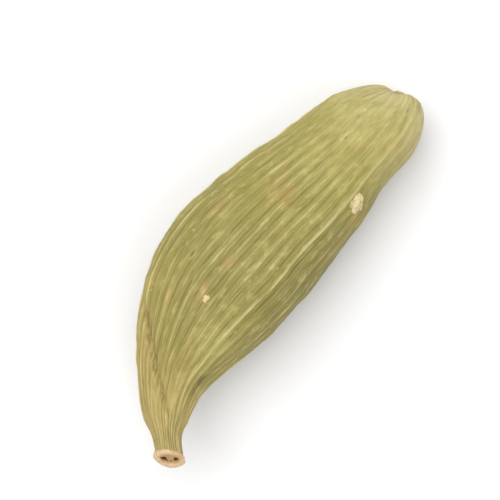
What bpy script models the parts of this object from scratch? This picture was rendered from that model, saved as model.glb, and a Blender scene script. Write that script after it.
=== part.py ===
"""Green cardamom pod: one closed, ribbed, three-sided seed capsule, picked and dried.

The capsule grew as one piece, so it is one solid: the cut stalk stub with its flared ring, the swollen
body and the flower scar at the blunt tip. The stalk points to -X, the tip to +X, and the pod is bowed
towards +Y. It lies on a small flat spot on its underside. Metres, +Z up.
"""

import math

import bpy
import numpy as np

MM = 0.001

# Driving dimensions
LENGTH = 20.0 * MM
WIDTH = 6.80 * MM
THICKNESS_TO_WIDTH = 0.90
RING_RADIUS = 0.78 * MM
SCAR_RADIUS = 0.42 * MM
REST_SPOT_DEPTH = 0.18 * MM

# Centre line from the stalk ring to the tip: the handles of one Bezier curve, as shares of LENGTH
AXIS_HANDLES = ((0.0, 0.0, 0.068), (0.252, 0.262, -0.055), (0.662, 0.044, -0.035), (1.022, 0.039, -0.068))

# Half width along the centre line: (share of the way, share of the widest)
OUTLINE = (
    (0.03, 0.162),
    (0.08, 0.280),
    (0.146, 0.423),
    (0.215, 0.623),
    (0.28, 0.787),
    (0.344, 0.905),
    (0.42, 0.983),
    (0.48, 1.0),
    (0.55, 0.960),
    (0.63, 0.900),
    (0.72, 0.816),
    (0.80, 0.735),
    (0.90, 0.670),
    (1.00, 0.655),
)
TIP_START = 0.875
TIP_BLUNTNESS = 1.65
TIP_SLANT = 0.26

# The ribs. Each twelfth one runs along one of the three keels: at the +Y side, and above and below -Y
RIBS = 36
RIBS_PER_KEEL = 12
RIB_HEIGHT = 0.095 * MM
KEEL_RIB_SHARE = 1.7
POINTS_PER_RIB = 4
RIB_SHARPNESS = 1.15
FACE_FLATNESS = 0.05
TIP_LOBES = 0.08 * MM
NECK_RIB_HEIGHT = 0.035 * MM
NECK_RIBS = 12

# Where the rings of points lie
NECK_SHARE = 0.03
RIBS_START = 0.095
NECK_RINGS = 4
BODY_RINGS = 25
TIP_RINGS = 8
TIP_LAST_TURN = math.radians(68.0)

# The flared ring that the stalk broke away from: (distance into the pod, radius), shares of RING_RADIUS
RING_FACE = ((0.30, 0.0), (0.29, 0.18), (0.27, 0.36), (0.22, 0.54), (0.10, 0.72))
RING_LIP = ((0.0, 0.86), (0.05, 0.98), (0.24, 1.0), (0.44, 0.90), (0.62, 0.83))
FACE_SLANT = 0.20
FACE_RAISE = 0.21
PIT_ANGLES = (math.radians(-12.0), math.radians(192.0))
PIT_PLACE = 0.40
PIT_DEPTH = 0.20 * MM
PIT_RADIUS = 0.14 * MM

# The flower scar at the tip: (distance out of its dimple, radius), shares of SCAR_RADIUS
SCAR_CROWN = ((-0.12, 1.20), (0.05, 1.0), (0.36, 0.86), (0.42, 0.62), (0.16, 0.34), (0.10, 0.0))
DIMPLE_DEPTH = 0.36 * MM
DIMPLE_RADIUS = 1.0 * MM

# Where the pod rests, as a share of the way along and an angle around
REST_SHARE = 0.56
REST_ANGLE = math.radians(260.0)


def smooth_curve(points, places):
    """Read a smooth curve without overshoot through (place, value) points."""
    xs, ys = (np.array(column, float) for column in zip(*points))
    steps = np.diff(xs)
    slopes = np.diff(ys) / steps
    tangents = np.zeros_like(xs)
    for i in range(1, len(xs) - 1):
        if slopes[i - 1] * slopes[i] > 0:
            tangents[i] = 2 * slopes[i - 1] * slopes[i] / (slopes[i - 1] + slopes[i])
    tangents[0] = slopes[0]
    tangents[-1] = slopes[-1]
    cell = np.clip(np.searchsorted(xs, places) - 1, 0, len(steps) - 1)
    f = (places - xs[cell]) / steps[cell]
    rise = (2 * f**3 - 3 * f**2 + 1) * ys[cell] + (3 * f**2 - 2 * f**3) * ys[cell + 1]
    bend = (f**3 - 2 * f**2 + f) * tangents[cell] + (f**3 - f**2) * tangents[cell + 1]
    return rise + bend * steps[cell]


def fade(value, start, end):
    """Go smoothly from 0 at start to 1 at end."""
    f = np.clip((value - start) / (end - start), 0.0, 1.0)
    return f * f * (3 - 2 * f)


def angle_gap(a, b):
    """Shortest way round between two angles."""
    return (a - b + math.pi) % (2 * math.pi) - math.pi


class CentreLine:
    """The pod's bowed centre line, read by the share of its length."""

    def __init__(self):
        t = np.linspace(0.0, 1.0, 801)[:, None]
        p0, p1, p2, p3 = (np.array(handle) * LENGTH for handle in AXIS_HANDLES)
        self.points = (1 - t) ** 3 * p0 + 3 * (1 - t) ** 2 * t * p1 + 3 * (1 - t) * t**2 * p2 + t**3 * p3
        run = np.linalg.norm(np.diff(self.points, axis=0), axis=1)
        self.length = run.sum()
        self.shares = np.concatenate(([0.0], np.cumsum(run))) / self.length
        self.tangents = np.gradient(self.points, axis=0)

    def read(self, values, share):
        return np.array([np.interp(share, self.shares, values[:, k]) for k in range(3)])

    def frame(self, share):
        """Centre, direction to the tip, and the section's two axes: sideways (+Y side) and up."""
        along = self.read(self.tangents, share)
        along /= np.linalg.norm(along)
        side = np.cross((0.0, 0.0, 1.0), along)
        side /= np.linalg.norm(side)
        return self.read(self.points, share), along, side, np.cross(along, side)


def rib_angle(number):
    """Angle round the pod of a rib, or of a point between two: two slow waves make the ribs uneven."""
    even = 2 * math.pi * number / RIBS
    return even + 0.020 * np.sin(5 * even + 1.0) + 0.009 * np.sin(11 * even + 2.0)


def rib_relief(numbers, share):
    """Height over the furrows: each rib has its own strength, and waxes and wanes along the pod."""
    rib = np.round(numbers) % RIBS
    strength = 0.78 + 0.22 * np.sin(1.7 * rib**2 + 0.9 * rib)
    strength = np.where(rib % RIBS_PER_KEEL == 0, KEEL_RIB_SHARE, strength)
    pace = 7.5 + 3.8 * np.sin(1.3 * rib**2)
    swell = 0.8 + 0.2 * np.cos(pace * share + 2.3 * rib)
    wave = (0.5 + 0.5 * np.cos(2 * math.pi * numbers)) ** RIB_SHARPNESS
    neck = 0.35 + 0.65 * fade(share, 0.08, 0.30)
    tip = 1.0 - 0.65 * fade(share, 0.84, 0.99)
    return RIB_HEIGHT * neck * tip * strength * swell * wave


def half_width(share):
    tip = np.clip((share - TIP_START) / (1 - TIP_START), 0.0, 1.0)
    return 0.5 * WIDTH * smooth_curve(OUTLINE, share) * (1 - tip**TIP_BLUNTNESS) ** (1 / TIP_BLUNTNESS)


def section_factor(angles, share):
    """The three-sided section, with the hollows and swellings that the seeds inside leave."""
    sides = FACE_FLATNESS * fade(share, 0.03, 0.22) * (1 + 0.7 * fade(share, 0.6, 0.95))
    three_sided = sides * np.cos(3 * angles)
    seeds = 0.010 * np.cos(3 * angles + math.pi) * math.cos(2 * math.pi * share * 5.5)
    dents = 0.009 * np.cos(2 * angles + 9 * share) * math.cos(11 * share + 0.8)
    crease = 0.055 * np.exp(-((angle_gap(angles, math.radians(38.0) + 0.5 * share) / 0.13) ** 2))
    crease *= fade(share, 0.06, 0.13) * (1 - fade(share, 0.24, 0.42))
    body = fade(share, 0.10, 0.3) * (1 - fade(share, 0.8, 0.97))
    return 1 + three_sided + body * (seeds + dents) - crease


def body_ring(line, angles, relief, share):
    """One ring of points round the pod at a share of the way along."""
    centre, along, side, up = line.frame(share)
    wide = half_width(share)
    thick = wide * (1 + (THICKNESS_TO_WIDTH - 1) * fade(share, 0.03, 0.25))
    flat = np.exp(-(((share - REST_SHARE) / 0.13) ** 2) - (angle_gap(angles, REST_ANGLE) / 0.42) ** 2)
    height = relief * (1 - flat)
    factor = section_factor(angles, share)
    sideways = (wide * factor + height) * np.cos(angles)
    upward = (thick * factor + height) * np.sin(angles)
    dimple = DIMPLE_DEPTH * math.exp(-((wide / DIMPLE_RADIUS) ** 2))
    lobes = TIP_LOBES * fade(share, 0.86, 0.99) * np.cos(3 * angles) * min(1.0, wide / DIMPLE_RADIUS)
    slant = TIP_SLANT * wide * np.cos(angles) * fade(share, 0.80, 0.97)
    forward = lobes - dimple - slant
    return centre + np.outer(sideways, side) + np.outer(upward, up) + np.outer(forward, along)


def disc_ring(frame, angles, radius, forward):
    """A ring of points round the centre line, moved forward along it."""
    centre, along, side, up = frame
    sideways = np.outer(radius * np.cos(angles), side)
    upward = np.outer(radius * np.sin(angles), up)
    return centre + sideways + upward + np.outer(forward + np.zeros_like(angles), along)


def pit_depth(radius, angles):
    """The broken vessels in the stalk ring's face: two round pits side by side."""
    depth = np.zeros_like(angles)
    for around in PIT_ANGLES:
        x = radius * np.cos(angles) - PIT_PLACE * RING_RADIUS * math.cos(around)
        y = radius * np.sin(angles) - PIT_PLACE * RING_RADIUS * math.sin(around)
        depth += PIT_DEPTH * np.exp(-(x**2 + y**2) / PIT_RADIUS**2)
    return depth


def face_slant(radius, angles):
    """How far the stalk's face lies back, as it looks up and to one side."""
    return RING_RADIUS * radius * (FACE_SLANT * np.cos(angles) + FACE_RAISE * np.sin(angles))


def stalk_rings(line, angles):
    """Rings of the stalk's dished face, its flared lip and the neck behind it."""
    frame = line.frame(0.0)
    rings = []
    for forward, radius in RING_FACE:
        points = angles if radius > 0 else angles[:1]
        dish = forward * RING_RADIUS + pit_depth(radius * RING_RADIUS, points)
        rings.append(disc_ring(frame, points, radius * RING_RADIUS, dish + face_slant(radius, points)))
    for forward, radius in RING_LIP:
        here = line.frame(forward * RING_RADIUS / line.length)
        uneven = 1 + 0.035 * np.cos(2 * angles + 1.1) + 0.02 * np.cos(5 * angles)
        slant = (1 - forward) * face_slant(radius, angles)
        rings.append(disc_ring(here, angles, radius * RING_RADIUS * uneven, slant))
    return rings


def tip_rings(line, angles):
    """Rings of the puckered flower scar that stands in the tip's dimple."""
    frame = line.frame(1.0)
    floor = -DIMPLE_DEPTH
    rings = []
    for forward, radius in SCAR_CROWN:
        points = angles if radius > 0 else angles[:1]
        pucker = 1 + 0.09 * np.cos(6 * points) * (1 if radius > 0 else 0)
        height = floor + forward * SCAR_RADIUS - TIP_SLANT * radius * SCAR_RADIUS * np.cos(points)
        rings.append(disc_ring(frame, points, radius * SCAR_RADIUS * pucker, height))
    return rings


def pod_rings():
    """All rings of points, from the middle of the stalk's face to the middle of the tip's scar."""
    numbers = np.arange(RIBS * POINTS_PER_RIB) / POINTS_PER_RIB
    angles = rib_angle(numbers)
    few_angles = angles[::3]
    line = CentreLine()
    rings = stalk_rings(line, few_angles)
    neck_relief = NECK_RIB_HEIGHT * np.cos(NECK_RIBS * few_angles)
    for share in np.linspace(NECK_SHARE, RIBS_START, NECK_RINGS, endpoint=False)[1:]:
        rings.append(body_ring(line, few_angles, neck_relief, share))
    for share in np.linspace(RIBS_START, TIP_START, BODY_RINGS, endpoint=False):
        rings.append(body_ring(line, angles, rib_relief(numbers, share), share))
    for turn in np.linspace(0.0, TIP_LAST_TURN, TIP_RINGS):
        share = TIP_START + (1 - TIP_START) * math.sin(turn)
        rings.append(body_ring(line, angles, rib_relief(numbers, share), share))
    return rings + tip_rings(line, few_angles)


def bridge(low, high):
    """Faces between two rings of point numbers, where one may have a whole multiple of the other."""
    count = max(len(low), len(high))
    faces = []
    for i in range(count):
        j = i + 1
        corners = (
            low[i * len(low) // count],
            low[j * len(low) // count % len(low)],
            high[j * len(high) // count % len(high)],
            high[i * len(high) // count],
        )
        faces.append(tuple(dict.fromkeys(corners)))
    return faces


def settle(points):
    """Press the rest spot flat, and bring the box's bottom centre to the origin."""
    floor = points[:, 2].min() + REST_SPOT_DEPTH
    points[:, 2] = np.maximum(points[:, 2], floor)
    middle = 0.5 * (points.min(axis=0) + points.max(axis=0))
    return points - (middle[0], middle[1], floor)


def husk_material():
    material = bpy.data.materials.new("husk")
    material.use_nodes = True
    shader = material.node_tree.nodes["Principled BSDF"]
    shader.inputs["Base Color"].default_value = (0.42, 0.38, 0.12, 1.0)
    shader.inputs["Roughness"].default_value = 0.62
    shader.inputs["Metallic"].default_value = 0.0
    return material


def make_pod():
    rings = pod_rings()
    numbers = []
    first = 0
    for ring in rings:
        numbers.append(list(range(first, first + len(ring))))
        first += len(ring)
    faces = []
    for low, high in zip(numbers, numbers[1:]):
        faces += bridge(low, high)
    mesh = bpy.data.meshes.new("pod")
    mesh.from_pydata(settle(np.vstack(rings)).tolist(), [], faces)
    mesh.materials.append(husk_material())
    mesh.shade_smooth()
    pod = bpy.data.objects.new("pod", mesh)
    bpy.context.collection.objects.link(pod)


for old in list(bpy.data.objects):
    bpy.data.objects.remove(old)
make_pod()
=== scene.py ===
import math

import bmesh
import bpy
from mathutils import Matrix, Vector, noise


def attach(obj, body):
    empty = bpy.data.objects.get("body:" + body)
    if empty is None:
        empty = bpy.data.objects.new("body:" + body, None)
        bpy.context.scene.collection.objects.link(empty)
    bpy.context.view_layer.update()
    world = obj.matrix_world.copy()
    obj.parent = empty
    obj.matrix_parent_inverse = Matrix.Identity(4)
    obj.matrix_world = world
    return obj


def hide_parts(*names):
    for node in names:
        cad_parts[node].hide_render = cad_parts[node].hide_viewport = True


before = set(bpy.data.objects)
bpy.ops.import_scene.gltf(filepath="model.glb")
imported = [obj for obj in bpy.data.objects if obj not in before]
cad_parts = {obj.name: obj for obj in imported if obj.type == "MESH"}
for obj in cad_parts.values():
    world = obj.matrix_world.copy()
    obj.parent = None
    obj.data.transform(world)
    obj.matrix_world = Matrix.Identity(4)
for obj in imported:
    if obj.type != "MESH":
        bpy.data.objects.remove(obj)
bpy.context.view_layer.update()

# Husk: the dried wall of the seed capsule, a thin fibrous skin that grew in one piece round the seeds.
# It shrank onto them as it dried, which left three soft keels, three dozen uneven ribs along its whole
# length and finer lines between them. It is swept along a bowed centre line by a rule, then wrinkled.
MM = 0.001
POD_LENGTH = 20.0 * MM
POD_WIDTH = 6.80 * MM
THICKNESS_TO_WIDTH = 0.90
STALK_END = Vector((-9.907, -2.445, 3.614)) * MM
AXIS_RUN = 21.52 * MM

# The centre line's handles in pod lengths, and the half width along it as a share of the widest
AXIS_HANDLES = ((0.0, 0.0, 0.068), (0.252, 0.262, -0.055), (0.662, 0.044, -0.035), (1.022, 0.039, -0.068))
HUSK_OUTLINE = (
    (0.0, 0.180), (0.03, 0.184), (0.08, 0.288), (0.146, 0.423), (0.215, 0.623), (0.28, 0.787),
    (0.344, 0.905), (0.42, 0.983), (0.48, 1.0), (0.55, 0.960), (0.63, 0.900), (0.72, 0.816),
    (0.80, 0.735), (0.90, 0.670), (1.0, 0.655),
)
TIP_START = 0.875
TIP_BLUNTNESS = 1.65
TIP_SLANT = 0.26
NECK_REACH = 0.10 * MM
NECK_SLANT = 0.12 * MM
NECK_END_DEPTH = 1.0 * MM
DIMPLE_DEPTH = 0.60 * MM
DIMPLE_RADIUS = 0.85 * MM
REST_SHARE = 0.56
REST_ANGLE = math.radians(260.0)
SKIN_RADIUS_MM = 3.3
ROWS_TO_TIP = 0.80

# The crease's angle where it starts, its turn over the whole length, and where it begins and dies out
CREASE_START = 2.15
CREASE_TURN = -6.6
CREASE_SPREAD = 0.14
CREASE_BEGINS = (0.05, 0.12)
CREASE_ENDS = (0.23, 0.34)
CREASE_DENT = 0.070

# The furrow and its lip by angle and share of the length, and the two sides that are a little slimmer
FURROW_ANGLE = math.radians(141.0)
FURROW_SHARE = 0.165
LIP_ANGLE = math.radians(168.0)
LIP_SHARE = 0.125
FOLD_LENGTH = 0.045
FURROW_DENT = 0.06
STALK_TRIM_SHARE = 0.235
STALK_TRIM = 0.12
TIP_TRIM_SHARE = 0.80
TIP_TRIM = 0.045
SEED_ROWS = 5.5
SEED_SWELLING = 0.010
SLOW_DENT = 0.009
HUSK_SIZES = {
    "Rows": 226,
    "Columns": 433,
    "Width": POD_WIDTH,
    "Thickness": THICKNESS_TO_WIDTH,
    "Face Flatness": 0.05,
    "Ribs": 36.0,
    "Rib Height": 0.095 * MM,
    "Rib Drift": 0.5,
    "Keel Share": 1.7,
    "Tip Lobes": 0.08 * MM,
    "Grain Depth": 0.035 * MM,
    "Wrinkle Depth": 0.11 * MM,
}


class Term:
    """One value or vector inside a node tree, so that a rule can be written as plain arithmetic."""

    def __init__(self, tree, socket):
        self.tree = tree
        self.socket = socket

    def feed(self, target):
        self.tree.links.new(self.socket, target)

    def node(self, kind, setting, others, output=0):
        node = self.tree.nodes.new(kind)
        node.operation = setting
        self.feed(node.inputs[0])
        for place, other in enumerate(others, start=1):
            give(other, node.inputs[place])
        return Term(self.tree, node.outputs[output])

    def math(self, setting, *others):
        return self.node("ShaderNodeMath", setting, others)

    def vector(self, setting, *others):
        return self.node("ShaderNodeVectorMath", setting, others)

    def __add__(self, other):
        return self.math("ADD", other)

    def __sub__(self, other):
        return self.math("SUBTRACT", other)

    def __mul__(self, other):
        return self.math("MULTIPLY", other)

    def __truediv__(self, other):
        return self.math("DIVIDE", other)

    def __pow__(self, other):
        return self.math("POWER", other)

    __radd__ = __add__
    __rmul__ = __mul__

    def __rsub__(self, other):
        return self * -1.0 + other

    def sin(self):
        return self.math("SINE")

    def cos(self):
        return self.math("COSINE")

    def least(self, other):
        return self.math("MINIMUM", other)

    def most(self, other):
        return self.math("MAXIMUM", other)

    def bell(self, centre, spread):
        return ((((self - centre) / spread) ** 2.0) * -1.0).math("EXPONENT")

    def times(self, length):
        scaled = self.tree.nodes.new("ShaderNodeVectorMath")
        scaled.operation = "SCALE"
        self.feed(scaled.inputs[0])
        give(length, scaled.inputs["Scale"])
        return Term(self.tree, scaled.outputs[0])

    def fade(self, start, end, low=0.0, high=1.0):
        node = self.tree.nodes.new("ShaderNodeMapRange")
        node.interpolation_type = "SMOOTHSTEP"
        self.feed(node.inputs["Value"])
        for name, value in (("From Min", start), ("From Max", end), ("To Min", low), ("To Max", high)):
            give(value, node.inputs[name])
        return Term(self.tree, node.outputs["Result"])

    def parts(self):
        node = self.tree.nodes.new("ShaderNodeSeparateXYZ")
        self.feed(node.inputs[0])
        return [Term(self.tree, output) for output in node.outputs]


def give(value, target):
    """Link a term to a socket, or set a plain number on it."""
    if isinstance(value, Term):
        value.feed(target)
    else:
        target.default_value = value


def joined(tree, x, y, z):
    """A vector from three values."""
    node = tree.nodes.new("ShaderNodeCombineXYZ")
    for target, value in zip(node.inputs, (x, y, z)):
        give(value, target)
    return Term(tree, node.outputs[0])


def noise_at(tree, place, scale, detail=2.0, roughness=0.5):
    """Smooth noise between 0 and 1 at a place."""
    node = tree.nodes.new("ShaderNodeTexNoise")
    place.feed(node.inputs["Vector"])
    give(scale, node.inputs["Scale"])
    node.inputs["Detail"].default_value = detail
    node.inputs["Roughness"].default_value = roughness
    return Term(tree, node.outputs["Fac"])


def shape_tree(name, sizes):
    """An empty Geometry Nodes tree with a geometry in, a geometry out and one input for each size."""
    tree = bpy.data.node_groups.new(name, "GeometryNodeTree")
    tree.interface.new_socket("Geometry", in_out="INPUT", socket_type="NodeSocketGeometry")
    tree.interface.new_socket("Geometry", in_out="OUTPUT", socket_type="NodeSocketGeometry")
    for label, value in sizes.items():
        kind = "NodeSocketInt" if isinstance(value, int) else "NodeSocketFloat"
        tree.interface.new_socket(label, in_out="INPUT", socket_type=kind)
    entry = tree.nodes.new("NodeGroupInput")
    leave = tree.nodes.new("NodeGroupOutput")
    terms = {label: Term(tree, entry.outputs[label]) for label in sizes}
    return tree, entry.outputs["Geometry"], leave.inputs["Geometry"], terms


def keep(tree, geometry, name, value, kind="FLOAT"):
    """Store a value on every point of the shape, for its material."""
    node = tree.nodes.new("GeometryNodeStoreNamedAttribute")
    node.data_type = kind
    node.inputs["Name"].default_value = name
    tree.links.new(geometry, node.inputs["Geometry"])
    value.feed(node.inputs["Value"])
    return node.outputs["Geometry"]


def finish_shape(tree, geometry, leave, material):
    """End a tree as the export needs it: real meshes, smooth, with their material."""
    real = tree.nodes.new("GeometryNodeRealizeInstances")
    smooth = tree.nodes.new("GeometryNodeSetShadeSmooth")
    painted = tree.nodes.new("GeometryNodeSetMaterial")
    painted.inputs["Material"].default_value = material
    tree.links.new(geometry, real.inputs[0])
    tree.links.new(real.outputs[0], smooth.inputs[0])
    tree.links.new(smooth.outputs[0], painted.inputs[0])
    tree.links.new(painted.outputs[0], leave)


def grown(name, tree, sizes, seed_mesh=None):
    """Run a tree on a mesh, and keep what it makes as a plain mesh object."""
    source = bpy.data.objects.new(name + "_source", seed_mesh or bpy.data.meshes.new(name + "_source"))
    bpy.context.collection.objects.link(source)
    modifier = source.modifiers.new("shape", "NODES")
    modifier.node_group = tree
    for item in tree.interface.items_tree:
        if item.in_out == "INPUT" and item.name in sizes:
            modifier[item.identifier] = sizes[item.name]
    bpy.context.view_layer.update()
    evaluated = source.evaluated_get(bpy.context.evaluated_depsgraph_get())
    mesh = bpy.data.meshes.new_from_object(evaluated, preserve_all_data_layers=True,
                                           depsgraph=bpy.context.evaluated_depsgraph_get())
    mesh.name = name
    source.modifiers.clear()
    bpy.data.objects.remove(source)
    piece = bpy.data.objects.new(name, mesh)
    bpy.context.collection.objects.link(piece)
    return piece


def axis_handles():
    """The two ends and the two handles of the centre line, in metres."""
    return [STALK_END + Vector(handle) * POD_LENGTH for handle in AXIS_HANDLES]


def husk_tree(material):
    """The husk: a sheet of points rolled round the centre line, then wrinkled."""
    tree, _, leave, size = shape_tree("husk_shape", HUSK_SIZES)
    nodes, links = tree.nodes, tree.links

    # A flat sheet of points, rows along the pod and columns round it
    sheet = nodes.new("GeometryNodeMeshGrid")
    sheet.inputs["Size X"].default_value = 1.0
    sheet.inputs["Size Y"].default_value = 1.0
    size["Rows"].feed(sheet.inputs["Vertices X"])
    size["Columns"].feed(sheet.inputs["Vertices Y"])
    place = Term(tree, nodes.new("GeometryNodeInputPosition").outputs[0])
    row, column, _ = place.parts()
    row = row + 0.5
    column = 0.5 - column
    tip_row = ((row - ROWS_TO_TIP) / (1 - ROWS_TO_TIP)).most(0.0)
    body_row = (row / ROWS_TO_TIP).least(1.0) * TIP_START
    share = body_row + (tip_row * (math.pi / 2)).sin() * (1 - TIP_START)
    even = column * (2 * math.pi)
    angle = even + (even * 5.0 + 1.0).sin() * 0.020 + (even * 11.0 + 2.0).sin() * 0.009

    # The centre line and the two axes across it
    line = nodes.new("GeometryNodeCurvePrimitiveBezierSegment")
    line.inputs["Resolution"].default_value = 400
    for name, handle in zip(("Start", "Start Handle", "End Handle", "End"), axis_handles()):
        line.inputs[name].default_value = handle
    read = nodes.new("GeometryNodeSampleCurve")
    read.mode = "FACTOR"
    links.new(line.outputs[0], read.inputs["Curves"])
    share.feed(read.inputs["Factor"])
    centre = Term(tree, read.outputs["Position"])
    along = Term(tree, read.outputs["Tangent"])
    side = joined(tree, 0.0, 0.0, 1.0).vector("CROSS_PRODUCT", along).vector("NORMALIZE")
    up = along.vector("CROSS_PRODUCT", side)

    # Half width and half thickness, closed at both ends
    outline = nodes.new("ShaderNodeFloatCurve")
    curve = outline.mapping.curves[0]
    for at, value in HUSK_OUTLINE[1:-1]:
        curve.points.new(at, value)
    curve.points[0].location = HUSK_OUTLINE[0]
    curve.points[-1].location = HUSK_OUTLINE[-1]
    outline.mapping.update()
    share.feed(outline.inputs["Value"])
    tip = ((share - TIP_START) / (1 - TIP_START)).most(0.0)
    blunt = (1.0 - tip ** TIP_BLUNTNESS).most(0.0) ** (1 / TIP_BLUNTNESS)
    start = row.fade(0.0, 0.004)
    wide = Term(tree, outline.outputs["Value"]) * blunt * start * size["Width"] * 0.5
    thick = wide * (share.fade(0.03, 0.25) * (size["Thickness"] - 1.0) + 1.0)

    def away_from(line):
        """The angle from a line that runs along the pod, between minus and plus half a turn."""
        return (angle - (line - math.pi)).math("FLOORED_MODULO", 2 * math.pi) - math.pi

    # Three sides, the swellings over the seeds, slow dents, and two folds by the stalk: a crease that
    # runs from the top of the neck out to the +Y side, and a short furrow with a lip at the -Y edge
    sides = share.fade(0.03, 0.22) * (share.fade(0.6, 0.95) * 0.7 + 1.0) * size["Face Flatness"]
    three = (angle * 3.0).cos()
    seeds = three * (share * (2 * math.pi * SEED_ROWS)).cos() * -SEED_SWELLING
    dents = (angle * 2.0 + share * 9.0).cos() * (share * 11.0 + 0.8).cos() * SLOW_DENT
    body = share.fade(0.10, 0.3) * (1.0 - share.fade(0.8, 0.97))
    from_crease = away_from(share * CREASE_TURN + CREASE_START)
    crease = from_crease.bell(0.0, CREASE_SPREAD) * share.fade(*CREASE_BEGINS)
    crease = crease * (1.0 - share.fade(*CREASE_ENDS))
    flank = from_crease.fade(0.35, -0.15) * from_crease.fade(-3.0, -2.0) * (1.0 - share.fade(0.20, 0.42))
    furrow = away_from(FURROW_ANGLE).bell(0.0, 0.15) * share.bell(FURROW_SHARE, FOLD_LENGTH)
    furrow = furrow - away_from(LIP_ANGLE).bell(0.0, 0.20) * share.bell(LIP_SHARE, FOLD_LENGTH)
    trimmed = share.bell(STALK_TRIM_SHARE, 0.09) * angle.cos().most(0.0) * STALK_TRIM
    trimmed = trimmed + share.bell(TIP_TRIM_SHARE, 0.06) * (angle.cos() * -1.0).most(0.0) * TIP_TRIM
    factor = three * sides + body * (seeds + dents) + 1.0
    factor = factor - crease * CREASE_DENT - furrow * FURROW_DENT - trimmed

    # Ribs: each wanders a little, has its own strength, and waxes and wanes along the pod; two faint
    # lines run between it and the next, and those on the keels stand higher
    ring_place = joined(tree, share * 5.5, angle.cos() * 1.3, angle.sin() * 1.3)
    drift = noise_at(tree, ring_place, 1.0, 1.0) - 0.5
    number = column * size["Ribs"] + drift * size["Rib Drift"]
    rib = number.math("ROUND").math("FLOORED_MODULO", size["Ribs"])
    keel = 1.0 - rib.math("FLOORED_MODULO", size["Ribs"] / 3.0).least(1.0)
    strength = (rib * rib * 1.7 + rib * 0.9).sin() * 0.22 + 0.78
    strength = strength + keel * (size["Keel Share"] - strength)
    pace = (rib * rib * 1.3).sin() * 3.8 + 7.5
    swell = (pace * share + rib * 2.3).cos() * 0.2 + 0.8
    lively = noise_at(tree, joined(tree, share * 15.0, rib * 7.3, 0.0), 1.0).fade(0.3, 0.7, 0.6, 1.15)
    turn = number * (2 * math.pi)
    bump = (turn.cos() * 0.5 + 0.5).most(0.0)
    wave = bump ** 1.15 * 0.65 + bump ** 4.0 * 0.35
    fine = ((turn * 3.0).cos() * 0.5 + 0.5).most(0.0) ** 2.0 * 0.20
    ends = (share.fade(0.08, 0.30) * 0.65 + 0.35) * (1.0 - share.fade(0.66, 0.94) * 0.74)
    bold = strength * swell * lively * ends
    worn = share.bell(REST_SHARE, 0.13) * away_from(REST_ANGLE).bell(0.0, 0.42)
    narrow = (wide / (0.9 * MM)).least(1.0)
    height = (wave + fine) * bold * (1.0 - worn) * narrow * size["Rib Height"]

    # The tip draws in to the flower scar between three lobes, and the neck reaches into the stalk ring
    dimple = (wide / DIMPLE_RADIUS).bell(0.0, 1.0) * DIMPLE_DEPTH * share.fade(0.5, 0.6)
    lobes = share.fade(0.86, 0.99) * three * (wide / DIMPLE_RADIUS).least(1.0) * size["Tip Lobes"]
    moved = centre.vector("ADD", side.times((wide * factor + height) * angle.cos()))
    moved = moved.vector("ADD", up.times((thick * factor + height) * angle.sin()))
    slant = angle.cos() * wide * share.fade(0.80, 0.97) * TIP_SLANT
    reach = share.fade(0.0, 0.03, 1.0, 0.0) * (NECK_REACH - angle.cos() * NECK_SLANT)
    closed = (1.0 - start) * NECK_END_DEPTH
    moved = moved.vector("ADD", along.times(lobes - dimple - slant - reach + closed))

    # What the material reads, kept while the sheet is still flat: the place on the unrolled skin in
    # millimetres, the share of the way along, the way across the rib, its boldness, and the folds
    skin = joined(tree, share * (AXIS_RUN / MM), angle.cos() * SKIN_RADIUS_MM,
                  angle.sin() * SKIN_RADIUS_MM)
    stored = keep(tree, sheet.outputs["Mesh"], "skin", skin, "FLOAT_VECTOR")
    stored = keep(tree, stored, "share", share)
    stored = keep(tree, stored, "rib", joined(tree, turn.cos(), turn.sin(), bold), "FLOAT_VECTOR")
    stored = keep(tree, stored, "folds", joined(tree, crease, flank, furrow), "FLOAT_VECTOR")
    loft = nodes.new("GeometryNodeSetPosition")
    links.new(stored, loft.inputs["Geometry"])
    moved.feed(loft.inputs["Position"])

    # Welded seam and poles, then drying wrinkles pushed along the surface's own normal
    weld = nodes.new("GeometryNodeMergeByDistance")
    weld.inputs["Distance"].default_value = 0.002 * MM
    links.new(loft.outputs[0], weld.inputs["Geometry"])
    kept_skin = nodes.new("GeometryNodeInputNamedAttribute")
    kept_skin.data_type = "FLOAT_VECTOR"
    kept_skin.inputs["Name"].default_value = "skin"
    skin_now = Term(tree, kept_skin.outputs[0])
    long_grain = skin_now.vector("MULTIPLY", (0.22, 1.0, 1.0))
    grain = noise_at(tree, long_grain, 3.4, 3.0, 0.6) - 0.5
    pucker = noise_at(tree, skin_now.vector("MULTIPLY", (0.8, 1.0, 1.0)), 0.75, 2.0, 0.5) - 0.5
    cross = noise_at(tree, skin_now.vector("MULTIPLY", (1.6, 0.7, 0.7)), 1.3, 2.0, 0.55) - 0.5
    push = grain * size["Grain Depth"] + pucker * size["Wrinkle Depth"]
    push = push + cross * (size["Wrinkle Depth"] * 0.45)
    outward = Term(tree, nodes.new("GeometryNodeInputNormal").outputs[0])
    wrinkle = nodes.new("GeometryNodeSetPosition")
    links.new(weld.outputs[0], wrinkle.inputs["Geometry"])
    outward.times(push).feed(wrinkle.inputs["Offset"])

    # The spot that it lies on is pressed flat at the surface it stands on
    x, y, z = Term(tree, nodes.new("GeometryNodeInputPosition").outputs[0]).parts()
    press = nodes.new("GeometryNodeSetPosition")
    links.new(wrinkle.outputs[0], press.inputs["Geometry"])
    joined(tree, x, y, z.most(0.0)).feed(press.inputs["Position"])
    finish_shape(tree, press.outputs[0], leave, material)
    return tree


def linear(red, green, blue):
    """A colour as seen on a screen, 0 to 255, for a shader's socket."""
    return tuple(((c / 255) ** 2.2) for c in (red, green, blue)) + (1.0,)


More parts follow.
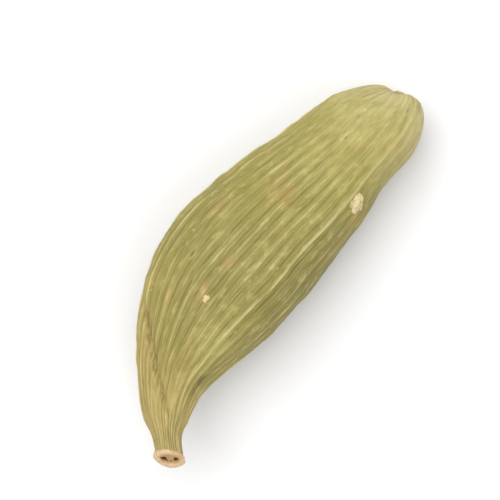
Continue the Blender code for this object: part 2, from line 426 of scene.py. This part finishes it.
def read_point(tree, name):
    """The node that reads a value kept on the points."""
    node = tree.nodes.new("ShaderNodeAttribute")
    node.attribute_name = name
    return node


def blended(tree, mask, low, high, setting="MIX"):
    """Two colours mixed by a mask; either may be a plain colour."""
    node = tree.nodes.new("ShaderNodeMix")
    node.data_type = "RGBA"
    node.blend_type = setting
    give(mask, node.inputs[0])
    give(low, node.inputs[6])
    give(high, node.inputs[7])
    return Term(tree, node.outputs[2])


def raised(tree, height, depth, under=None):
    """A bump in metres from a height between 0 and 1."""
    node = tree.nodes.new("ShaderNodeBump")
    give(depth, node.inputs["Distance"])
    height.feed(node.inputs["Height"])
    if under is not None:
        under.feed(node.inputs["Normal"])
    return Term(tree, node.outputs[0])


def new_finish(name):
    """A new material, its node tree and its shader."""
    material = bpy.data.materials.new(name)
    material.use_nodes = True
    return material, material.node_tree, material.node_tree.nodes["Principled BSDF"]


def ramped(tree, value, stops):
    """A run of colours along a value: (place, colour) stops."""
    node = tree.nodes.new("ShaderNodeValToRGB")
    ramp = node.color_ramp
    for _ in stops[2:]:
        ramp.elements.new(0.5)
    for element, (place, colour) in zip(ramp.elements, stops):
        element.position = place
        element.color = colour
    value.feed(node.inputs["Fac"])
    return Term(tree, node.outputs["Color"])


def effect(name, inputs, outputs):
    """An empty shader node group: its named inputs come back as terms, its outputs as sockets."""
    tree = bpy.data.node_groups.new(name, "ShaderNodeTree")
    for label, kind in inputs.items():
        tree.interface.new_socket(label, in_out="INPUT", socket_type="NodeSocket" + kind)
    for label, kind in outputs.items():
        tree.interface.new_socket(label, in_out="OUTPUT", socket_type="NodeSocket" + kind)
    entry = tree.nodes.new("NodeGroupInput")
    leave = tree.nodes.new("NodeGroupOutput")
    return tree, {label: Term(tree, entry.outputs[label]) for label in inputs}, leave.inputs


def placed(tree, group, values):
    """Put an effect into a material with its own values; its outputs come back as terms."""
    node = tree.nodes.new("ShaderNodeGroup")
    node.node_tree = group
    for label, value in values.items():
        give(value, node.inputs[label])
    return {output.name: Term(tree, output) for output in node.outputs}


def dry_fibre_effect():
    """Fibres drawn out along the place's first axis, the grit between them, and both as a bump."""
    tree, given, leave = effect(
        "dry_fibre", {"Place": "Vector", "Slenderness": "Float", "Scale": "Float", "Depth": "Float"},
        {"Fibres": "Float", "Grit": "Float", "Normal": "Vector"})
    drawn_out = given["Place"].vector("MULTIPLY", joined(tree, given["Slenderness"], 1.0, 1.0))
    fibres = noise_at(tree, drawn_out, given["Scale"], 3.0, 0.68)
    grit = noise_at(tree, given["Place"], given["Scale"] * 1.7, 2.0, 0.6)
    fibres.feed(leave["Fibres"])
    grit.feed(leave["Grit"])
    raised(tree, fibres, given["Depth"], raised(tree, grit, given["Depth"] * 0.3)).feed(leave["Normal"])
    return tree


def speck_effect():
    """Scattered specks of uneven size, one at most in each cell of the scale."""
    tree, given, leave = effect(
        "specks", {"Place": "Vector", "Scale": "Float", "Amount": "Float", "Size": "Float"},
        {"Mask": "Float"})
    cells = tree.nodes.new("ShaderNodeTexVoronoi")
    given["Place"].feed(cells.inputs["Vector"])
    given["Scale"].feed(cells.inputs["Scale"])
    chance, share_of_size, strength = Term(tree, cells.outputs["Color"]).parts()
    ragged = noise_at(tree, given["Place"], given["Scale"] * 4.0, 2.0, 0.6) * 0.16 - 0.08
    radius = given["Size"] * (share_of_size * 0.8 + 0.4)
    gap = Term(tree, cells.outputs["Distance"]) + ragged
    inside = gap.fade(radius, radius * 0.55)
    there = chance.math("LESS_THAN", given["Amount"])
    (inside * there * (strength * 0.5 + 0.5)).feed(leave["Mask"])
    return tree


dry_fibre = dry_fibre_effect()
specks = speck_effect()


def husk_finish():
    material, tree, shader = new_finish("dried_husk")
    skin = Term(tree, read_point(tree, "skin").outputs["Vector"])
    share = Term(tree, read_point(tree, "share").outputs["Fac"])
    crease, flank, furrow = Term(tree, read_point(tree, "folds").outputs["Vector"]).parts()
    _, outward, upward = skin.parts()

    # Ground colour along the pod: straw by the stalk, olive over the belly, pale again at the tip
    blotch = noise_at(tree, skin.vector("MULTIPLY", (0.5, 1.0, 1.0)), 0.55, 2.0, 0.5)
    along = share + blotch * 0.16 - 0.08
    ground = ramped(tree, along, (
        (0.0, linear(182, 168, 114)), (0.10, linear(184, 164, 102)), (0.19, linear(158, 143, 78)),
        (0.40, linear(140, 130, 66)), (0.60, linear(146, 137, 71)), (0.80, linear(166, 156, 89)),
        (1.0, linear(192, 181, 122))))

    # Painted shade: darker olive over the upper middle and on the -Y side of the belly; a paler patch on
    # the upper -Y side a quarter of the way along, and pale again round the tip
    painted_middle_shade = outward.bell(0.3, 1.3) * upward.fade(0.0, 1.5) * share.bell(0.37, 0.21) * 0.54
    painted_side_shade = outward.fade(-0.6, -3.0) * share.bell(0.58, 0.24) * 0.62
    pale_patch = outward.bell(-1.5, 0.9) * upward.fade(0.0, 1.5) * share.bell(0.25, 0.09) * 0.40
    ground = blended(tree, painted_middle_shade, ground, linear(118, 110, 54))
    ground = blended(tree, painted_side_shade, ground, linear(108, 101, 52))
    ground = blended(tree, pale_patch, ground, linear(200, 190, 116))
    ground = blended(tree, share.bell(0.955, 0.03) * 0.22, ground, linear(216, 206, 160))
    pale_edge = outward.fade(-1.2, -2.8) * share.bell(0.90, 0.07) * 0.45
    ground = blended(tree, pale_edge, ground, linear(212, 192, 144))

    # The flank beside the crease is a browner straw, with a few warm blotches; brown dots line the crease
    warm = noise_at(tree, skin.vector("MULTIPLY", (0.55, 1.0, 1.0)), 0.9, 2.0, 0.55).fade(0.53, 0.72)
    dots = noise_at(tree, skin, 3.4, 2.0, 0.5).fade(0.46, 0.58)
    ground = blended(tree, flank * 0.72, ground, linear(186, 163, 102))
    ground = blended(tree, warm * 0.50, ground, linear(180, 144, 82))
    ground = blended(tree, crease.fade(0.10, 0.7) * (dots * 0.55 + 0.22), ground, linear(118, 88, 42))
    # Painted shade darkens the furrow by the stalk, and its lip is a paler straw
    ground = blended(tree, furrow.most(0.0) * 0.85, ground, linear(80, 75, 32))
    ground = blended(tree, furrow.least(0.0) * -0.60, ground, linear(204, 174, 126))

    # Each rib is a thin pale line with a fainter one on either side, over broad furrows of darker olive
    across, sine, bold = Term(tree, read_point(tree, "rib").outputs["Vector"]).parts()
    jitter = noise_at(tree, skin.vector("MULTIPLY", (0.35, 1.0, 1.0)), 1.6, 2.0, 0.5) * 1.0 - 0.5
    turn = (sine.math("ARCTAN2", across) + jitter).math("ABSOLUTE")
    broken = noise_at(tree, skin.vector("MULTIPLY", (0.16, 1.0, 1.0)), 3.4, 3.0, 0.6)
    main_line = turn.bell(0.0, 0.80) * bold.fade(0.1, 1.1) * broken.fade(0.32, 0.58)
    side_line = turn.bell(2.1, 0.34) * broken.fade(0.66, 0.42)
    between = turn.fade(0.9, 2.7)
    calm = 1.0 - share.fade(0.62, 0.88) * 0.76
    mottle = noise_at(tree, skin.vector("MULTIPLY", (0.7, 1.0, 1.0)), 1.3, 3.0, 0.6)
    patchy = noise_at(tree, skin.vector("MULTIPLY", (0.55, 1.0, 1.0)), 2.7, 2.0, 0.6)
    ribbed = blended(tree, mottle.fade(0.62, 0.38) * 0.35, ground, linear(128, 118, 54))
    ribbed = blended(tree, patchy.fade(0.46, 0.28) * (calm * 0.20 + 0.14), ribbed, linear(112, 102, 48))
    ribbed = blended(tree, patchy.fade(0.54, 0.72) * 0.32, ribbed, linear(206, 196, 128))
    ribbed = blended(tree, between * broken.fade(0.68, 0.40) * calm * 0.56, ribbed, linear(110, 101, 44))
    ribbed = blended(tree, main_line * calm * 0.66, ribbed, linear(208, 198, 138))
    ribbed = blended(tree, side_line * calm * 0.30, ribbed, linear(196, 187, 122))

    # Fine fibres, then dark dashes, rusty flecks and cream dots drawn out along the ribs
    fibre = placed(tree, dry_fibre,
                   {"Place": skin, "Slenderness": 0.07, "Scale": 9.0, "Depth": 0.028 * MM})
    ribbed = blended(tree, fibre["Fibres"].fade(0.52, 0.74) * 0.28, ribbed, linear(210, 200, 150))
    ribbed = blended(tree, fibre["Fibres"].fade(0.48, 0.26) * 0.34, ribbed, linear(98, 88, 38))
    drawn_out = skin.vector("MULTIPLY", (0.42, 1.0, 1.0))
    dashes = placed(tree, specks, {"Place": drawn_out, "Scale": 1.9, "Amount": 0.30, "Size": 0.13})
    rust = placed(tree, specks, {"Place": drawn_out, "Scale": 1.05, "Amount": 0.16, "Size": 0.15})
    cream = placed(tree, specks, {"Place": skin, "Scale": 1.35, "Amount": 0.12, "Size": 0.12})
    ribbed = blended(tree, dashes["Mask"] * 0.55, ribbed, linear(104, 84, 40))
    ribbed = blended(tree, rust["Mask"] * 0.65, ribbed, linear(164, 118, 68))
    ribbed = blended(tree, cream["Mask"] * 0.65, ribbed, linear(216, 204, 156))
    ribbed.feed(shader.inputs["Base Color"])

    (fibre["Fibres"] * 0.22 + 0.50 - main_line * 0.08).feed(shader.inputs["Roughness"])
    raised(tree, main_line + side_line * 0.5, 0.018 * MM, fibre["Normal"]).feed(shader.inputs["Normal"])
    shader.inputs["Specular IOR Level"].default_value = 0.35
    return material


husk_material = husk_finish()
husk = grown("husk", husk_tree(husk_material), HUSK_SIZES)
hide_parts("pod")
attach(husk, "root")

# Stalk ring: the stub of the stalk that the pod hung from. It swelled into a collar where the pod broke
# off, and dried to a pale corky lip. Inside it the torn core stands between two ragged gaps of brown
# tissue, painted darker still as shade.
RING_RADIUS = 0.70 * MM
RING_SET_BACK = 0.11 * MM
RING_OFFSET = 0.03 * MM
RING_PROFILE = (
    (-0.01, 0.0), (-0.01, 0.20), (0.00, 0.40), (-0.03, 0.56), (-0.08, 0.68), (-0.12, 0.79), (-0.13, 0.90),
    (-0.08, 0.98), (0.03, 1.0), (0.15, 0.955), (0.27, 0.895), (0.42, 0.83), (0.70, 0.76), (1.0, 0.68),
)
RING_STEPS = 6
RING_HOLLOW_ROWS = 6 * RING_STEPS
RING_COLUMNS = 144
FACE_SLANT = 0.30
FACE_RAISE = 0.22

# The gaps beside the core, each by angle, spread and strength, between the core and the lip; the strength
# sets both its depth and how dark its painted shade is
CORE_GAPS = ((-25.0, 42.0, 1.0), (206.0, 34.0, 0.74), (262.0, 10.0, 0.30))
GAP_PLACE = 0.43
GAP_WIDTH = 0.17
GAP_DEPTH = 0.24 * MM
COLLAR_GROOVES = 26
CORK_CRUMBS = 0.030 * MM
LIP_CHIPS = 0.07 * MM
CORE_STRANDS = 0.05 * MM


def eased(points, steps):
    """More points on a smooth curve through the given ones."""
    points = [Vector(p) for p in points]
    ends = [points[0]] + points + [points[-1]]
    curve = []
    for a, b, c, d in zip(ends, ends[1:], ends[2:], ends[3:]):
        for step in range(steps):
            t = step / steps
            curve.append(0.5 * (2 * b + (c - a) * t + (2 * a - 5 * b + 4 * c - d) * t**2
                                + (3 * b - a - 3 * c + d) * t**3))
    return curve + [points[-1]]


def end_frame(at_tip):
    """Centre, direction along, and the two axes across, at either end of the centre line."""
    handles = axis_handles()
    centre = handles[3] if at_tip else handles[0]
    along = (handles[3] - handles[2] if at_tip else handles[1] - handles[0]).normalized()
    side = Vector((0, 0, 1)).cross(along).normalized()
    return centre, along, side, along.cross(side)


def turned_piece(name, columns, rows, place):
    """A closed round mesh, from a pole outwards: place(row, angle) gives each point and its mark."""
    points, marks, faces = [], [], []
    for row in range(rows):
        for column in range(columns):
            point, mark = place(row, 2 * math.pi * column / columns)
            points.append(point)
            marks.append(mark)
    for row in range(rows - 1):
        for column in range(columns):
            right = (column + 1) % columns
            faces.append((row * columns + column, row * columns + right,
                          (row + 1) * columns + right, (row + 1) * columns + column))
    mesh = bpy.data.meshes.new(name)
    mesh.from_pydata(points, [], faces)
    mesh.attributes.new("mark", "FLOAT", "POINT").data.foreach_set("value", marks)
    shape = bmesh.new()
    shape.from_mesh(mesh)
    bmesh.ops.remove_doubles(shape, verts=shape.verts, dist=0.001 * MM)
    rim = [edge for edge in shape.edges if edge.is_boundary]
    if rim:
        bmesh.ops.contextual_create(shape, geom=rim)
    bmesh.ops.recalc_face_normals(shape, faces=shape.faces)
    shape.to_mesh(mesh)
    shape.free()
    mesh.shade_smooth()
    piece = bpy.data.objects.new(name, mesh)
    bpy.context.collection.objects.link(piece)
    return piece


def stalk_ring_piece():
    centre, along, side, up = end_frame(at_tip=False)
    profile = eased(RING_PROFILE, RING_STEPS)

    def place(row, angle):
        forward, radius = profile[row]
        across = Vector((math.cos(angle), math.sin(angle))) * radius * RING_RADIUS
        spot = Vector((across.x, across.y, forward * RING_RADIUS)) / MM
        inside = row < RING_HOLLOW_ROWS
        torn = noise.noise(spot * 5.0) + 0.6 * noise.noise(spot * 13.0)
        moat = math.exp(-((radius + 0.09 * torn - GAP_PLACE) / GAP_WIDTH)**4) * inside
        depth = 0.0
        for around, spread, strength in CORE_GAPS:
            turned = math.degrees(angle) - around + 22 * noise.noise(spot * 4.0 + Vector((7, 7, 7)))
            turned = (turned + 180) % 360 - 180
            depth = max(depth, moat * strength * math.exp(-(turned / spread)**4))
        strands = max(0.0, 1 - radius / 0.62) * inside * noise.noise(spot * 11.0)
        crumb = noise.fractal(spot * 5.5, 1.0, 2.0, 3)
        chip = noise.noise(spot * 2.1 + Vector((3, 1, 4)))
        lip = max(0.0, 1 - abs(forward + 0.08) / 0.30) * min(1.0, radius / 0.7)
        collar = min(1.0, max(0.0, (forward - 0.1) / 0.3))
        grooves = math.cos(COLLAR_GROOVES * angle + 2 * math.sin(3 * angle)) * collar
        wide = 1 + 0.035 * math.cos(2 * angle + 1.1) + 0.02 * math.cos(5 * angle) + 0.05 * chip
        wide += 0.022 * grooves * (radius > 0.75)
        raised_face = max(0.0, 1 - max(0.0, forward) / 0.6)
        push = forward * RING_RADIUS - RING_SET_BACK
        push += FACE_SLANT * across.x + FACE_RAISE * across.y * raised_face
        push += GAP_DEPTH * depth + CORK_CRUMBS * crumb * min(1.0, 4 * radius) + LIP_CHIPS * chip * lip
        push += CORE_STRANDS * strands
        mark = min(1.0, depth + 0.3 * min(1.0, max(0.0, (0.68 - radius) / 0.16)))
        if not inside:
            mark = -min(1.0, max(0.0, forward / 0.45))
        outward = (side * across.x + up * across.y) * wide
        return centre + side * RING_OFFSET + outward + along * push, mark

    return turned_piece("stalk_ring", RING_COLUMNS, len(profile), place)


def ring_finish():
    material, tree, shader = new_finish("corky_stalk")
    place = Term(tree, tree.nodes.new("ShaderNodeTexCoord").outputs["Object"]).times(1 / MM)
    mark = Term(tree, read_point(tree, "mark").outputs["Fac"])
    cork = placed(tree, dry_fibre,
                  {"Place": place, "Slenderness": 0.35, "Scale": 8.0, "Depth": 0.035 * MM})
    crumbs = placed(tree, specks, {"Place": place, "Scale": 5.0, "Amount": 0.45, "Size": 0.30})
    cloud = noise_at(tree, place, 1.9, 3.0, 0.6)
    colour = blended(tree, cloud.fade(0.35, 0.65), linear(217, 190, 151), linear(197, 164, 121))
    colour = blended(tree, cork["Fibres"].fade(0.55, 0.75) * 0.5, colour, linear(176, 130, 84))
    colour = blended(tree, crumbs["Mask"] * 0.45, colour, linear(150, 104, 64))
    colour = blended(tree, mark.fade(-0.45, -0.95) * 0.8, colour, linear(158, 136, 88))
    colour = blended(tree, mark.fade(0.04, 0.3) * 0.55, colour, linear(172, 128, 80))
    # Brown of the torn tissue in the gaps with painted shade on it, darkest in the strongest gap
    colour = blended(tree, mark.fade(0.36, 0.85), colour, linear(92, 54, 14))
    colour.feed(shader.inputs["Base Color"])
    (cork["Grit"] * 0.25 + 0.58).feed(shader.inputs["Roughness"])
    cork["Normal"].feed(shader.inputs["Normal"])
    shader.inputs["Specular IOR Level"].default_value = 0.3
    return material


ring_material = ring_finish()
stalk_ring = stalk_ring_piece()
stalk_ring.data.materials.append(ring_material)
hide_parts("pod")
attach(stalk_ring, "root")

# Flower scar: the dried remains of the flower at the blunt tip, a puckered crown of thin straw-brown
# lobes that shrivelled down into a dimple between the pod's three lobes.
SCAR_RADIUS = 0.42 * MM
SCAR_PROFILE = (
    (0.07, 0.0), (0.08, 0.20), (0.16, 0.42), (0.26, 0.62), (0.24, 0.84), (0.06, 1.02), (-0.12, 1.22),
    (-0.36, 1.45),
)
SCAR_COLUMNS = 108
SCAR_LOBES = 6


def flower_scar_piece():
    centre, along, side, up = end_frame(at_tip=True)
    profile = eased(SCAR_PROFILE, RING_STEPS)

    def place(row, angle):
        forward, radius = profile[row]
        lobe = math.cos(SCAR_LOBES * angle + 0.9 * math.sin(2 * angle + 1) + 0.7 * math.sin(3 * angle))
        spot = Vector((math.cos(angle), math.sin(angle), 0.0)) * radius + Vector((0, 0, forward))
        tear = noise.fractal(spot * 3.0, 1.0, 2.0, 3)
        crown = max(0.0, 1 - abs(radius - 0.7) / 0.45)
        wide = radius * SCAR_RADIUS * (1 + 0.10 * lobe * crown + 0.22 * tear)
        height = forward * (1 + 0.35 * lobe * crown + 0.80 * tear * crown) * SCAR_RADIUS - DIMPLE_DEPTH
        height -= TIP_SLANT * wide * math.cos(angle)
        across = side * math.cos(angle) + up * math.sin(angle)
        return centre + across * wide + along * height, crown * (0.5 + 0.5 * lobe)

    return turned_piece("flower_scar", SCAR_COLUMNS, len(profile), place)


def scar_finish():
    material, tree, shader = new_finish("papery_scar")
    place = Term(tree, tree.nodes.new("ShaderNodeTexCoord").outputs["Object"]).times(1 / MM)
    lobe = Term(tree, read_point(tree, "mark").outputs["Fac"])
    paper = placed(tree, dry_fibre,
                   {"Place": place, "Slenderness": 0.3, "Scale": 7.0, "Depth": 0.03 * MM})
    colour = blended(tree, lobe.fade(0.1, 0.8), linear(150, 122, 76), linear(212, 192, 142))
    colour = blended(tree, paper["Fibres"].fade(0.5, 0.72) * 0.7, colour, linear(128, 96, 56))
    colour.feed(shader.inputs["Base Color"])
    (paper["Grit"] * 0.2 + 0.6).feed(shader.inputs["Roughness"])
    paper["Normal"].feed(shader.inputs["Normal"])
    return material


scar_material = scar_finish()
flower_scar = flower_scar_piece()
flower_scar.data.materials.append(scar_material)
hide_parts("pod")
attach(flower_scar, "root")

# Scabs: where the growing skin was nicked it healed as pale cork. Two larger scabs stand on the upper
# side, each a ragged crust that follows the husk under it, with its rim sunk into the skin.
SCAB_ROWS = 12
SCAB_COLUMNS = 60
SCAB_RIM_DEPTH = 0.05 * MM

# Name, middle and half size in millimetres, turn in degrees and height in millimetres
SCABS = (
    ("scab_large", (4.57, -2.86), (0.50, 0.42), 54.0, 0.15),
    ("scab_small", (-3.00, 0.36), (0.24, 0.15), -14.0, 0.04),
)


def scab_piece(name, middle, half_size, way, height):
    over = Vector((middle[0], middle[1], 20.0)) * MM
    _, centre, normal, _ = husk.ray_cast(over, Vector((0, 0, -1)))
    along = (Vector((1, 0, 0)) - normal * normal.x).normalized()
    side = normal.cross(along)
    way = math.radians(way)

    def place(row, angle):
        radius = row / (SCAB_ROWS - 1)
        edge = Vector((1.3 * math.cos(angle), 1.3 * math.sin(angle), middle[0]))
        ragged = radius * (1 + 0.45 * noise.noise(edge) + 0.20 * noise.noise(edge * 3.1))
        x = half_size[0] * MM * ragged * math.cos(angle)
        y = half_size[1] * MM * ragged * math.sin(angle)
        start = centre + along * (x * math.cos(way) - y * math.sin(way)) + normal * MM
        start += side * (x * math.sin(way) + y * math.cos(way))
        _, foot, _, _ = husk.ray_cast(start, -normal)
        crumb = noise.fractal(foot / MM * 4.5, 1.0, 2.0, 3)
        lift = height * MM * (1 - radius**4) * (0.85 + 0.7 * crumb)
        return foot + normal * (lift - SCAB_RIM_DEPTH * radius**8), crumb

    return turned_piece(name, SCAB_COLUMNS, SCAB_ROWS, place)


def cork_finish(name, pale, tan):
    material, tree, shader = new_finish(name)
    place = Term(tree, tree.nodes.new("ShaderNodeTexCoord").outputs["Object"]).times(1 / MM)
    cork = placed(tree, dry_fibre, {"Place": place, "Slenderness": 0.6, "Scale": 6.0, "Depth": 0.04 * MM})
    crumbs = placed(tree, specks, {"Place": place, "Scale": 6.0, "Amount": 0.4, "Size": 0.3})
    colour = blended(tree, cork["Fibres"].fade(0.4, 0.65), pale, tan)
    colour = blended(tree, crumbs["Mask"] * 0.5, colour, linear(176, 138, 88))
    colour.feed(shader.inputs["Base Color"])
    (cork["Grit"] * 0.25 + 0.6).feed(shader.inputs["Roughness"])
    cork["Normal"].feed(shader.inputs["Normal"])
    shader.inputs["Specular IOR Level"].default_value = 0.3
    return material


cork_material = cork_finish("pale_cork", linear(214, 199, 152), linear(192, 168, 116))
for scab_name, scab_middle, scab_half_size, scab_way, scab_height in SCABS:
    scab = scab_piece(scab_name, scab_middle, scab_half_size, scab_way, scab_height)
    scab.data.materials.append(cork_material)
    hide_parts("pod")
    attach(scab, "root")

# Flakes: bits of the skin's dead outer layer that dried loose all over the pod. They lie flat on it,
# drawn out to all sides, and are sown by a fixed seed, but not where it rests or at its two ends.
FLAKE_SIZES = {
    "Gap": 1.2 * MM,
    "Density": 160000.0,
    "Seed": 11,
    "Shortest": 0.022 * MM,
    "Longest": 0.12 * MM,
    "Lowest": 1.2 * MM,
}


def flake_tree(material):
    tree, body, leave, size = shape_tree("flake_shape", FLAKE_SIZES)
    nodes, links = tree.nodes, tree.links
    kept_share = nodes.new("GeometryNodeInputNamedAttribute")
    kept_share.data_type = "FLOAT"
    kept_share.inputs["Name"].default_value = "share"
    share = Term(tree, kept_share.outputs[0])
    _, _, height = Term(tree, nodes.new("GeometryNodeInputPosition").outputs[0]).parts()
    between_ends = share.math("GREATER_THAN", 0.08) * share.math("LESS_THAN", 0.92)
    scatter = nodes.new("GeometryNodeDistributePointsOnFaces")
    scatter.distribute_method = "POISSON"
    links.new(body, scatter.inputs["Mesh"])
    size["Gap"].feed(scatter.inputs["Distance Min"])
    size["Density"].feed(scatter.inputs["Density Max"])
    size["Seed"].feed(scatter.inputs["Seed"])
    (between_ends * height.math("GREATER_THAN", size["Lowest"])).feed(scatter.inputs["Density Factor"])

    # One ragged flake, from a ball of few faces that noise pushes out of shape
    ball = nodes.new("GeometryNodeMeshIcoSphere")
    ball.inputs["Radius"].default_value = 1.0
    ball.inputs["Subdivisions"].default_value = 2
    way_out = Term(tree, nodes.new("GeometryNodeInputPosition").outputs[0])
    ragged = nodes.new("GeometryNodeSetPosition")
    links.new(ball.outputs["Mesh"], ragged.inputs["Geometry"])
    way_out.times(noise_at(tree, way_out, 1.6, 2.0) * 1.4 - 0.7).feed(ragged.inputs["Offset"])

    stretch = nodes.new("FunctionNodeRandomValue")
    stretch.data_type = "FLOAT_VECTOR"
    width = size["Shortest"]
    joined(tree, width, width, width * 0.3).feed(stretch.inputs["Min"])
    joined(tree, size["Longest"], width * 1.5, width * 0.6).feed(stretch.inputs["Max"])
    size["Seed"].feed(stretch.inputs["Seed"])
    spin = nodes.new("FunctionNodeRandomValue")
    spin.data_type = "FLOAT_VECTOR"
    spin.inputs["Min"].default_value = (0.0, 0.0, -math.pi)
    spin.inputs["Max"].default_value = (0.0, 0.0, math.pi)
    size["Seed"].feed(spin.inputs["Seed"])
    turned = nodes.new("FunctionNodeRotateRotation")
    turned.rotation_space = "LOCAL"
    links.new(scatter.outputs["Rotation"], turned.inputs["Rotation"])
    links.new(spin.outputs[0], turned.inputs["Rotate By"])
    sown = nodes.new("GeometryNodeInstanceOnPoints")
    links.new(scatter.outputs["Points"], sown.inputs["Points"])
    links.new(ragged.outputs[0], sown.inputs["Instance"])
    links.new(turned.outputs[0], sown.inputs["Rotation"])
    links.new(stretch.outputs[0], sown.inputs["Scale"])
    finish_shape(tree, sown.outputs[0], leave, material)
    return tree


flake_material = cork_finish("dead_skin", linear(190, 176, 122), linear(166, 142, 88))
flakes = grown("skin_flakes", flake_tree(flake_material), FLAKE_SIZES, husk.data)
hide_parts("pod")
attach(flakes, "root")

# Floor, light and camera: a plain white table under a large soft light from the upper left of the view,
# and a camera that looks straight down on the pod, turned as the pod lies in the picture.
floor_mesh = bpy.data.meshes.new("table")
FLOOR_HALF = 0.4
floor_mesh.from_pydata(
    [(-FLOOR_HALF, -FLOOR_HALF, 0), (FLOOR_HALF, -FLOOR_HALF, 0), (FLOOR_HALF, FLOOR_HALF, 0),
     (-FLOOR_HALF, FLOOR_HALF, 0)], [], [(0, 1, 2, 3)])
floor = bpy.data.objects.new("table", floor_mesh)
floor.location.z = -0.02 * MM
bpy.context.collection.objects.link(floor)
floor_material, _, floor_shader = new_finish("white_table")
floor_shader.inputs["Base Color"].default_value = (0.84, 0.84, 0.85, 1.0)
floor_shader.inputs["Roughness"].default_value = 0.9
floor_mesh.materials.append(floor_material)

POD_TURN = math.radians(54.9)
POD_MIDDLE_HEIGHT = 3.1 * MM
CAMERA_HEIGHT = 0.25
PIXELS_PER_MM = 21.5
FRAME_PIXELS = 500
camera_data = bpy.data.cameras.new("camera")
camera_data.sensor_width = 36.0
camera_reach = CAMERA_HEIGHT - POD_MIDDLE_HEIGHT
camera_data.lens = camera_data.sensor_width * camera_reach / (FRAME_PIXELS / PIXELS_PER_MM * MM)
camera_data.clip_start = 0.01
camera = bpy.data.objects.new("camera", camera_data)
camera.location = (0.0, 0.0, CAMERA_HEIGHT)
camera.rotation_euler = (0.0, 0.0, -POD_TURN)
bpy.context.collection.objects.link(camera)
bpy.context.scene.camera = camera


def soft_light(name, direction, distance, width, power):
    """A square white light that faces the pod from a direction given in the camera's own view."""
    data = bpy.data.lights.new(name, "AREA")
    data.size = width
    data.energy = power
    light = bpy.data.objects.new(name, data)
    turned = Matrix.Rotation(-POD_TURN, 3, "Z") @ Vector(direction).normalized()
    light.location = turned * distance
    light.rotation_euler = turned.to_track_quat("Z", "Y").to_euler()
    bpy.context.collection.objects.link(light)


soft_light("key", (-0.30, 0.35, 1.2), 0.5, 0.45, 2.12)
soft_light("fill", (0.7, -0.5, 1.0), 0.5, 0.5, 0.55)
world = bpy.data.worlds.new("studio")
world.use_nodes = True
world.node_tree.nodes["Background"].inputs["Color"].default_value = (1.0, 1.0, 1.0, 1.0)
world.node_tree.nodes["Background"].inputs["Strength"].default_value = 0.62
bpy.context.scene.world = world
bpy.context.scene.view_settings.view_transform = "Standard"
